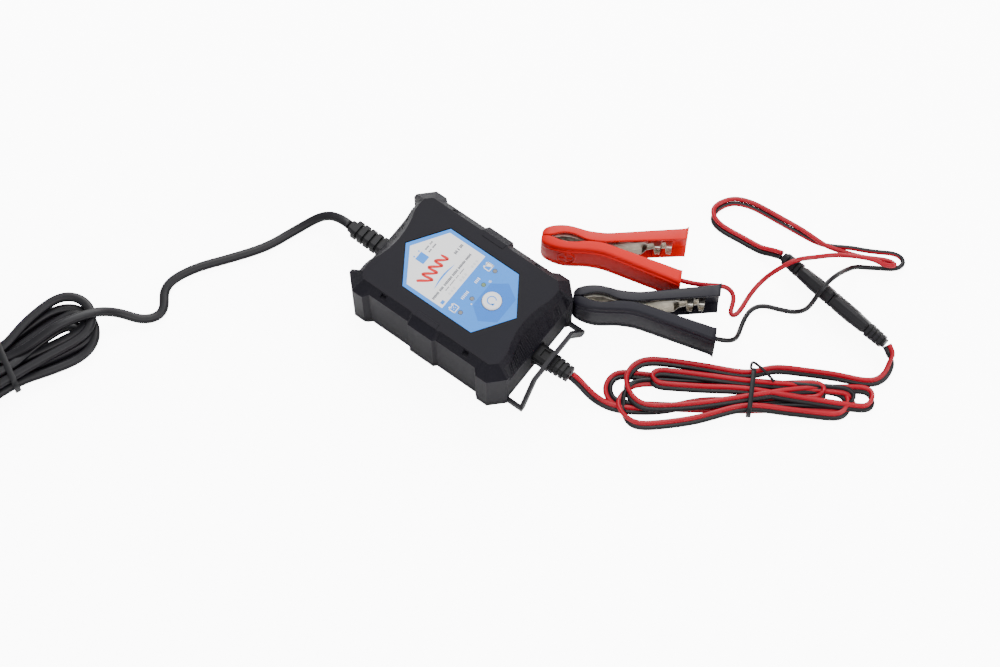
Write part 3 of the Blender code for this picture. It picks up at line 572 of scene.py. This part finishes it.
# Inside each cover run one low rail along the handle and three small nubs beside each edge, mm.
RAIL_FROM = 9.0
RAIL_SPAN = 31.5
RAIL_INSET = 2.35
RAIL_DEEP = 0.62
NUB_FROM = 25.4
NUB_APART = 2.4
NUB_LONG = 0.9
NUB_INSET = 1.9
for label, place, pvc, slot in CLAMPS:
    for half, hand in (("far", 1), ("near", -1)):
        body = label + "_far_half" if hand == 1 else "charger"
        cover = skin("%s_%s_sleeve" % (label, half), [cover_section(x, hand) for x in COVER_LONG], [pvc],
                     place)
        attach(cover, body)
        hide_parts("%s_cover_%s" % (label, half))
        rail_rings = []
        for k in range(12):
            x = RAIL_FROM + RAIL_SPAN * k / 11
            y = read_curve(BACK, x) - RAIL_INSET
            rail_rings.append([(x, hand * (y + RAIL_DEEP), -0.5), (x, hand * y, -0.3), (x, hand * y, 0.3),
                               (x, hand * (y + RAIL_DEEP), 0.5)])
        rail = skin("%s_%s_inner_rail" % (label, half), rail_rings, [pvc], place, 30)
        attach(rail, body)
        for level, side in ((-1, "low"), (1, "high")):
            for k in range(3):
                x = NUB_FROM + NUB_APART * k
                out = read_curve(BACK, x) - NUB_INSET
                lo_z, hi_z = sorted((level * 9.4, level * 7.9))
                lo_y, hi_y = sorted((hand * (out - 3.6), hand * (out - 0.1)))
                nub = small_block("%s_%s_nub_%s_%d" % (label, half, side, k + 1), (x, lo_y, lo_z),
                                  (x + NUB_LONG, hi_y, hi_z), place, pvc, 0.2)
                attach(nub, body)

# The ringed plus sign stands 0.5 mm proud of the back of the red clamp's near cover.
red_place = CLAMPS[0][1]
PLUS_X = -19.0
PLUS_TALL = 1.28
PLUS_BACK = -(read_curve(BACK, PLUS_X) + 0.3)
ring_rings = []
for k in range(40):
    a = 2 * math.pi * k / 40
    ring_rings.append([(PLUS_X + r * math.cos(a), PLUS_BACK - d + 0.012 * (r * math.cos(a)) ** 2,
                        PLUS_TALL * r * math.sin(a))
                       for r, d in ((4.3, -0.5), (4.4, 0.42), (4.75, 0.5), (5.1, 0.42), (5.2, -0.5))])
ring_bm = bmesh.new()
ring_rows = [[ring_bm.verts.new((red_place @ Vector(p)) * MM) for p in ring] for ring in ring_rings]
for i, near in enumerate(ring_rows):
    far = ring_rows[(i + 1) % 40]
    for j in range(5):
        ring_bm.faces.new((near[j], near[(j + 1) % 5], far[(j + 1) % 5], far[j])).smooth = True
bmesh.ops.recalc_face_normals(ring_bm, faces=ring_bm.faces)
ring_mesh = bpy.data.meshes.new("plus_ring")
ring_bm.to_mesh(ring_mesh)
ring_bm.free()
ring_mesh.materials.append(red_cover)
plus_ring = bpy.data.objects.new("plus_ring", ring_mesh)
bpy.context.scene.collection.objects.link(plus_ring)
plus_up = small_block("plus_upright", (PLUS_X - 0.5, PLUS_BACK - 0.55, -4.3),
                      (PLUS_X + 0.5, PLUS_BACK + 0.7, 4.3),
                      red_place, red_cover, 0.25)
plus_across = small_block("plus_across", (PLUS_X - 3.3, PLUS_BACK - 0.55, -0.7),
                          (PLUS_X + 3.3, PLUS_BACK + 0.7, 0.7), red_place, red_cover, 0.25)
for piece in (plus_ring, plus_up, plus_across):
    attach(piece, "charger")

# ---- Jaws, pins and springs -------------------------------------------------------------------
# Pressed nickel-plated steel channels with a crimped neck, on a riveted pin with a coil spring.


def plated(name, colour, rough, brush):
    """Plated or bare metal with fine drawn lines and a few duller patches."""
    finish = bpy.data.materials.new(name)
    finish.use_nodes = True
    nodes = finish.node_tree.nodes
    link = finish.node_tree.links.new
    shader = nodes["Principled BSDF"]
    shader.inputs["Metallic"].default_value = 1.0
    place = nodes.new("ShaderNodeTexCoord")
    drift = nodes.new("ShaderNodeTexNoise")
    drift.inputs["Scale"].default_value = 160.0
    drift.inputs["Detail"].default_value = 5.0
    tint = nodes.new("ShaderNodeValToRGB")
    tint.color_ramp.elements[0].position = 0.35
    tint.color_ramp.elements[1].position = 0.65
    tint.color_ramp.elements[0].color = [c * 0.72 for c in colour] + [1.0]
    tint.color_ramp.elements[1].color = list(colour) + [1.0]
    lines = nodes.new("ShaderNodeTexNoise")
    lines.inputs["Scale"].default_value = brush
    lines.inputs["Detail"].default_value = 2.0
    gloss = nodes.new("ShaderNodeMapRange")
    gloss.inputs["To Min"].default_value = rough - 0.1
    gloss.inputs["To Max"].default_value = rough + 0.12
    bump = nodes.new("ShaderNodeBump")
    bump.inputs["Strength"].default_value = 0.35
    bump.inputs["Distance"].default_value = 0.03 * MM
    link(place.outputs["Object"], drift.inputs["Vector"])
    link(place.outputs["Object"], lines.inputs["Vector"])
    link(drift.outputs["Fac"], tint.inputs["Fac"])
    link(tint.outputs["Color"], shader.inputs["Base Color"])
    link(drift.outputs["Fac"], gloss.inputs["Value"])
    link(gloss.outputs["Result"], shader.inputs["Roughness"])
    link(lines.outputs["Fac"], bump.inputs["Height"])
    link(bump.outputs["Normal"], shader.inputs["Normal"])
    return finish


nickel = plated("nickel_plate", (0.78, 0.74, 0.66), 0.3, 2600.0)
steel = plated("bright_steel", (0.62, 0.62, 0.64), 0.32, 3000.0)


def refinish(node, finish, ease=0.0):
    """Gives a carried-over CAD part its finish and, where moulded or pressed, softer edges."""
    part = bpy.data.objects[node]
    part.data.materials.clear()
    part.data.materials.append(finish)
    if ease:
        softened(part, ease)


EAR_BEND = 1.15
EARS = ((26.8, 29.4, 3.9, 5.7), (32.8, 35.4, 3.8, 6.7))       # x from, x to, half width, edge

for label, place, pvc, slot in CLAMPS:
    for half, hand, wide in (("far", 1, 7.7), ("near", -1, 6.6)):
        body = label + "_far_half" if hand == 1 else "charger"
        refinish("%s_jaw_%s" % (label, half), nickel, 0.15)
        for side in (-1, 1):
            tag = "%s_%s_%s" % (label, half, "high" if side > 0 else "low")
            for k, start in enumerate((2.5, 3.8)):
                line = skin("%s_pressed_line_%d" % (tag, k + 1),
                            [[(x, hand * (y - 0.28), side * (wide - 0.1)),
                              (x, hand * (y + 0.28), side * (wide - 0.1)),
                              (x, hand * (y + 0.14), side * (wide + 0.22)),
                              (x, hand * (y - 0.14), side * (wide + 0.22))]
                             for x, y in ((7.0, start), (18.6, start + 3.3))], [nickel], place, 25)
                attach(line, body)
            for k, (x0, x1, reach, edge) in enumerate(EARS if half == "far" else ()):
                rings = []
                for step in range(9):
                    a = math.radians(18 * step)
                    ring = []
                    for x, r in ((x0, EAR_BEND), (x1, EAR_BEND), (x1, EAR_BEND - 0.6),
                                 (x0, EAR_BEND - 0.6)):
                        ring.append((x, hand * (edge - r * math.sin(a)),
                                     side * (reach - EAR_BEND + r * math.cos(a))))
                    rings.append(ring)
                ear = skin("%s_crimp_ear_%d" % (tag, k + 1), rings, [nickel], place, 40)
                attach(ear, body)
    refinish(label + "_pivot_pin", nickel, 0.1)
    refinish(label + "_spring", steel)

# ---- Inside the housing -----------------------------------------------------------------------
# Mains and control boards in green laminate, a yellow-taped transformer, two sleeved capacitors, an
# aluminium heat sink with its transistor, and the switch under the mode button.
laminate = moulded("green_laminate", (0.015, 0.13, 0.05), 0.35, 0.8, 0.01, coat=0.4)
taped_core = moulded("yellow_tape", (0.55, 0.40, 0.07), 0.4, 0.5, 0.02)
sleeve_pvc = moulded("capacitor_sleeve_pvc", (0.02, 0.03, 0.13), 0.3, 0.4, 0.01, coat=0.3)
epoxy = moulded("moulded_epoxy", (0.02, 0.02, 0.022), 0.5, 0.3, 0.02)
aluminium = plated("extruded_aluminium", (0.70, 0.71, 0.73), 0.35, 1800.0)
for node, finish, ease in (("circuit_board", laminate, 0.1), ("control_board", laminate, 0.1),
                           ("transformer", taped_core, 0.4), ("capacitor_a", sleeve_pvc, 0.3),
                           ("capacitor_b", sleeve_pvc, 0.3), ("heat_sink", aluminium, 0.15),
                           ("power_transistor", epoxy, 0.2), ("tact_switch", epoxy, 0.15)):
    refinish(node, finish, ease)

# ---- Housing shells and screws ----------------------------------------------------------------
# Two ABS shells with a fine spark-eroded grain, black with a violet cast, held by four steel screws
# from below. The slopes at both ends carry fine fanned ribs; a low pad crosses each long edge.
shell_abs = moulded("shell_abs", (0.0056, 0.0048, 0.0090), 0.5, 0.35, 0.03, spread=0.12, shine=0.18)
base_abs = moulded("base_abs", (0.0058, 0.0051, 0.0088), 0.54, 0.35, 0.03, spread=0.12, shine=0.18)
refinish("housing_top", shell_abs, 0.32)
refinish("housing_base", base_abs, 0.3)
for k in range(4):
    refinish("base_screw_%d" % (k + 1), steel, 0.1)
EDGE_X = 87.0          # centre of the arc that edges each end recess, and its radius
EDGE_R = 47.0
SLOPE_TOP = 33.6       # heights of an end slope, and how far out its foot would meet the end
SLOPE_FOOT = 21.5
SLOPE_END = 49.6
RIB_APART = 1.5
RIB_TALL = 0.27
RIB_FOOT = 0.45        # half widths of a rib at its foot and along its crest
RIB_CREST = 0.32
PAD_FOOT = 37.2        # heights of the long edges' pads
PAD_TOP = 37.72


def joined(name, boxes, finish, body="charger", ease=0.12):
    """Several small eight-cornered solids as one piece; each is its four low and four high corners, mm."""
    bm = bmesh.new()
    for low, high in boxes:
        rows = [[bm.verts.new(Vector(p) * MM) for p in side] for side in (low, high)]
        bm.faces.new(rows[0][::-1])
        bm.faces.new(rows[1])
        for j in range(4):
            bm.faces.new((rows[0][j], rows[0][(j + 1) % 4], rows[1][(j + 1) % 4], rows[1][j]))
    bmesh.ops.recalc_face_normals(bm, faces=bm.faces)
    mesh = bpy.data.meshes.new(name)
    bm.to_mesh(mesh)
    bm.free()
    mesh.materials.append(finish)
    piece = bpy.data.objects.new(name, mesh)
    bpy.context.scene.collection.objects.link(piece)
    if ease:
        softened(piece, ease)
    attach(piece, body)
    return piece


for end, title in ((-1, "mains_end"), (1, "output_end")):
    boxes = []
    for k in range(29):
        y = -21.0 + RIB_APART * k
        near = EDGE_X - math.sqrt(EDGE_R ** 2 - min(abs(y), 19.0) ** 2) + 3.2
        drop = (SLOPE_TOP - SLOPE_FOOT) / (SLOPE_END - (near - 0.6))
        head = (near, SLOPE_TOP - 0.6 * drop)
        foot = (49.2, SLOPE_FOOT + 0.4 * drop)
        lean = Vector((drop, 1.0)).normalized() * RIB_TALL
        low = [(end * head[0], y - RIB_FOOT, head[1] - 0.5), (end * head[0], y + RIB_FOOT, head[1] - 0.5),
               (end * foot[0], y + RIB_FOOT, foot[1] - 0.5), (end * foot[0], y - RIB_FOOT, foot[1] - 0.5)]
        high = [(end * (head[0] + lean[0]), y - RIB_CREST, head[1] + lean[1]),
                (end * (head[0] + lean[0]), y + RIB_CREST, head[1] + lean[1]),
                (end * (foot[0] + lean[0]), y + RIB_CREST, foot[1] + lean[1]),
                (end * (foot[0] + lean[0]), y - RIB_CREST, foot[1] + lean[1])]
        boxes.append((low, high))
    joined(title + "_ribs", boxes, shell_abs)
for side, title in ((-1, "near_pad"), (1, "far_pad")):
    joined(title, [([(-7.0, side * 26.6, PAD_FOOT), (7.0, side * 26.6, PAD_FOOT),
                     (7.0, side * 30.0, PAD_FOOT),
                     (-7.0, side * 30.0, PAD_FOOT)],
                    [(-6.6, side * 27.0, PAD_TOP), (6.6, side * 27.0, PAD_TOP), (6.9, side * 30.1, PAD_TOP),
                     (-6.9, side * 30.1, PAD_TOP)])], shell_abs)

# ---- Label, mode button and indicators ---------------------------------------------------------
# A six-sided satin polyester film lies in a shallow recess: sky blue with a white field towards the
# mains end. The marks on it are plain shapes. The white button and four smoked lenses pass through it.
film_blue = moulded("film_blue", (0.045, 0.29, 0.90), 0.3, 1.2, 0.004, spread=0.04)
ink_white = moulded("ink_white", (0.97, 0.97, 0.98), 0.35, 1.2, 0.003, spread=0.02)
ink_deep = moulded("ink_deep_blue", (0.025, 0.205, 0.74), 0.3, 1.2, 0.003, spread=0.04)
ink_red = moulded("ink_red", (0.72, 0.012, 0.012), 0.35, 1.2, 0.003, spread=0.04)
ink_dark = moulded("ink_grey", (0.045, 0.05, 0.08), 0.4, 1.2, 0.003, spread=0.05)
ink_pale = moulded("ink_pale_grey", (0.66, 0.68, 0.73), 0.4, 1.2, 0.003, spread=0.05)
refinish("label_panel", film_blue, 0.05)
FILM_TOP = 37.2
INK_UNDER = FILM_TOP + 0.015       # the broad fields
INK_OVER = FILM_TOP + 0.03         # the marks printed over them
BUTTON_INK = 38.115


def printed(name, shapes, level, finish, body="charger"):
    """Flat ink shapes (lists of x, y in mm) at a height in mm, as one piece."""
    bm = bmesh.new()
    for shape in shapes:
        bm.faces.new([bm.verts.new((x * MM, y * MM, level * MM)) for x, y in shape])
    bmesh.ops.recalc_face_normals(bm, faces=bm.faces)
    for face in bm.faces:
        if face.normal.z < 0:
            face.normal_flip()
    mesh = bpy.data.meshes.new(name)
    bm.to_mesh(mesh)
    bm.free()
    mesh.materials.append(finish)
    piece = bpy.data.objects.new(name, mesh)
    bpy.context.scene.collection.objects.link(piece)
    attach(piece, body)


def bar(x, y, deep, wide):
    """A mark deep across the label and wide along its lines of print."""
    return [(x - deep / 2, y - wide / 2), (x + deep / 2, y - wide / 2),
            (x + deep / 2, y + wide / 2), (x - deep / 2, y + wide / 2)]


def brushed(points, widths):
    """A stroke through points, as wide in mm as widths say at each."""
    left, right = [], []
    for i, (p, w) in enumerate(zip(points, widths)):
        a, b = points[max(i - 1, 0)], points[min(i + 1, len(points) - 1)]
        run = math.dist(a, b)
        nx, ny = -(b[1] - a[1]) / run, (b[0] - a[0]) / run
        left.append((p[0] + nx * w / 2, p[1] + ny * w / 2))
        right.append((p[0] - nx * w / 2, p[1] - ny * w / 2))
    return [[left[i], left[i + 1], right[i + 1], right[i]] for i in range(len(left) - 1)]


def halves_round(x, y, radius, corners):
    """Two shapes that fill a closed outline except for a hole: corners are x, y with y above zero."""
    arc = [(x + radius * math.cos(math.pi * k / 12), y + radius * math.sin(math.pi * k / 12))
           for k in range(13)]
    upper = corners + arc
    return [upper, [(px, -py) for px, py in upper]]


printed("white_field", [[(-33.0, 0.0), (-21.0, 18.4), (2.0, 18.4), (2.0, -18.4), (-21.0, -18.4)]],
        INK_UNDER, ink_white)
printed("deep_hexagon",
        halves_round(20.0, 0.0, 5.6, [(13.4, 0.0), (13.4, 7.6), (21.0, 13.2), (29.4, 8.0), (29.4, 0.0)]),
        INK_UNDER, ink_deep)
printed("maker_square", [bar(-23.6, -1.8, 5.2, 5.2), bar(-27.4, 0.3, 0.8, 0.8), bar(-27.4, -3.7, 0.8, 0.8),
                         bar(0.2, -15.6, 1.8, 2.2)], INK_OVER, film_blue)
wave = []
for k in range(73):
    t = k / 72
    y = -12.6 + 19.4 * t
    lift = (3.3 - 1.2 * t) * math.cos(t * 2 * math.pi * 4)
    wave.append((-14.6 - lift - 0.5 * math.sin(t * math.pi), y - 0.45 * lift))
script = brushed(wave, [1.0 + 0.6 * abs(math.sin(8 * math.pi * k / 72 + 0.5)) for k in range(73)])
printed("red_wave", script, INK_OVER, ink_red)
sweep = [(-7.9 - 0.9 * math.sin(math.pi * k / 20), -12.0 + 17.0 * k / 20) for k in range(21)]
printed("blue_sweep", brushed(sweep, [0.15 + 0.8 * math.sin(math.pi * k / 20) for k in range(21)]),
        INK_OVER, film_blue)
lines = []
for x, deep, start, dashes in ((-4.9, 1.4, -17.2, (5.2, 3.1, 6.4, 4.2, 5.6, 4.6)),
                               (-2.6, 0.6, -9.4, (3.0, 4.4, 2.6, 3.6)),
                               (-25.2, 0.9, 3.0, (3.2, 2.6)), (-22.9, 0.9, 3.0, (2.4, 3.2)),
                               (-11.6, 1.7, 10.2, (2.2, 0.9, 2.4))):
    y = start
    for dash in dashes:
        step = 0
        while step < dash - 0.5:
            lines.append(bar(x, y + step + 0.3, deep * (1.0 if (step * 7) % 3 < 2 else 0.78), 0.5))
            step += 0.72
        y += dash + 0.7
printed("line_marks", lines, INK_OVER, ink_dark)
pale = [bar(-0.4 + 0.5 * j, c + 2.0 * i, 0.32, 1.2)
        for c in (-9.6, 0.0, 9.6) for i in range(3) for j in range(3)]
printed("pale_marks", pale, INK_OVER, ink_pale)
icons = []
for y in (-14.7, 14.7):
    icons += [bar(5.2, y, 0.5, 4.4), bar(8.6, y, 0.5, 4.4), bar(6.9, y - 2.0, 3.4, 0.5),
              bar(6.9, y + 2.0, 3.4, 0.5),
              bar(4.7, y - 1.2, 0.6, 0.9), bar(4.7, y + 1.2, 0.6, 0.9)]
icons.append([(5.2, 14.0), (8.6, 15.6), (8.6, 16.7), (5.2, 16.7)])
icons += [bar(6.6 + 0.7 * j, -14.7 + 0.7 * i, 0.42, 0.42)
          for i, j in ((-1, -1), (1, 1), (0, 0), (-1, 1), (1, -1))]
for y, n in ((-5.6, 6), (4.9, 4)):
    icons += [bar(6.9, y + 0.95 * (k - n / 2 + 0.5), 1.7 if k % 2 else 1.45, 0.5) for k in range(n)]
icons += [bar(12.6, -7.6, 0.7, 0.7), bar(12.6, 8.4, 1.5, 0.3), bar(12.6, 8.4, 0.3, 1.5)]
icons += [bar(12.1, 7.9, 0.3, 0.3), bar(13.1, 8.9, 0.3, 0.3), bar(12.1, 8.9, 0.3, 0.3),
          bar(13.1, 7.9, 0.3, 0.3)]
printed("white_marks", icons, INK_OVER, ink_white)

button_abs = moulded("button_abs", (0.93, 0.93, 0.95), 0.32, 0.5, 0.008, spread=0.02, coat=0.1)
refinish("mode_button", button_abs, 0.2)
turn = [(20.0 + 2.3 * math.cos(0.6 + 5.0 * k / 24), 2.3 * math.sin(0.6 + 5.0 * k / 24)) for k in range(25)]
turn_marks = brushed(turn, [0.55] * 25)
turn_marks.append([(turn[-1][0] - 1.0, turn[-1][1] - 0.2), (turn[-1][0] + 0.5, turn[-1][1] - 0.9),
                   (turn[-1][0] + 0.6, turn[-1][1] + 1.0)])
printed("mode_mark", turn_marks, BUTTON_INK, film_blue, "button")
smoked = moulded("smoked_lens", (0.20, 0.205, 0.21), 0.2, 0.6, 0.004, spread=0.06, coat=0.5)
green_lens = moulded("green_lens", (0.16, 0.25, 0.14), 0.2, 0.6, 0.004, spread=0.06, coat=0.5)
for k in range(4):
    refinish("led_window_%d" % (k + 1), green_lens if k == 2 else smoked, 0.12)

# ---- Cable glands and hanging bail --------------------------------------------------------------
# Ribbed soft PVC bend guards moulded on the leads; the one at the output end has a clip window.
# The bail is a slim nylon frame whose two arms slide in the base.
guard_pvc = moulded("guard_pvc", (0.0065, 0.0062, 0.008), 0.46, 0.5, 0.02)
bail_nylon = moulded("bail_nylon", (0.011, 0.010, 0.014), 0.42, 0.6, 0.015)
refinish("mains_strain_relief", guard_pvc, 0.3)
refinish("output_strain_relief", guard_pvc, 0.3)
refinish("hanging_bail", bail_nylon, 0.3)

# ---- Inline connector and mains plug ------------------------------------------------------------
# Two-pole connector of moulded PVC halves with a stepped joint, raised frames on the broad faces and
# ribbed tails. The two-pin plug beyond the mains hank has round nickel pins.
connector_pvc = moulded("connector_pvc", (0.0085, 0.008, 0.0105), 0.4, 0.5, 0.02)
plug_pvc = moulded("plug_pvc", (0.008, 0.008, 0.010), 0.4, 0.5, 0.02)
JOINT = Vector((155.3, 119.05, 8.7))
REACH = Vector((35.3, -5.15, 0.0)).normalized()


def length_frame(origin, ahead, roll):
    """Frame with z along ahead, x level across it, both turned by roll degrees."""
    x = Vector((0.0, 0.0, 1.0)).cross(ahead).normalized()
    y = ahead.cross(x)
    turn_by = Matrix.Rotation(math.radians(roll), 4, "Z")
    frame = Matrix(((x[0], y[0], ahead[0], 0), (x[1], y[1], ahead[1], 0), (x[2], y[2], ahead[2], 0),
                    (0, 0, 0, 1))) @ turn_by
    frame.translation = origin
    return frame


FRAME_LOW = 3.6        # foot and face of the raised frames, from the middle of the connector, mm
FRAME_HIGH = 3.95
FRAME_BARS = ((-5.6, 3.0, 5.6, 3.7), (-5.6, 14.2, 5.6, 14.9), (-5.6, 3.7, -4.9, 14.2),
              (4.9, 3.7, 5.6, 14.2), (-1.6, 7.4, 1.6, 8.1), (-1.6, 10.2, 1.6, 10.9))
refinish("connector_plug", connector_pvc, 0.45)
refinish("connector_socket", connector_pvc, 0.45)
for node, ahead, roll in (("connector_plug", REACH, 28.0), ("connector_socket", -REACH, -28.0)):
    seat = length_frame(JOINT, ahead, roll)
    marks = []
    for face in (-1, 1):
        for y0, z0, y1, z1 in FRAME_BARS:
            xs = sorted((face * FRAME_LOW, face * FRAME_HIGH))
            rows = [[seat @ Vector((x, y, z)) for y, z in ((y0, z0), (y1, z0), (y1, z1), (y0, z1))]
                    for x in xs]
            marks.append((rows[0], rows[1]))
    joined(node + "_frames", marks, connector_pvc, ease=0.1)
    collar = [[seat @ Vector(p) for p in ((-3.85, -7.8, z), (3.85, -7.8, z), (3.85, 7.8, z),
                                          (-3.85, 7.8, z))]
              for z in (0.35, 1.5)]
    joined(node + "_collar", [(collar[0], collar[1])], connector_pvc, ease=0.15)
refinish("mains_plug", plug_pvc, 0.5)
for node in ("plug_pin_1", "plug_pin_2"):
    refinish(node, nickel, 0.15)
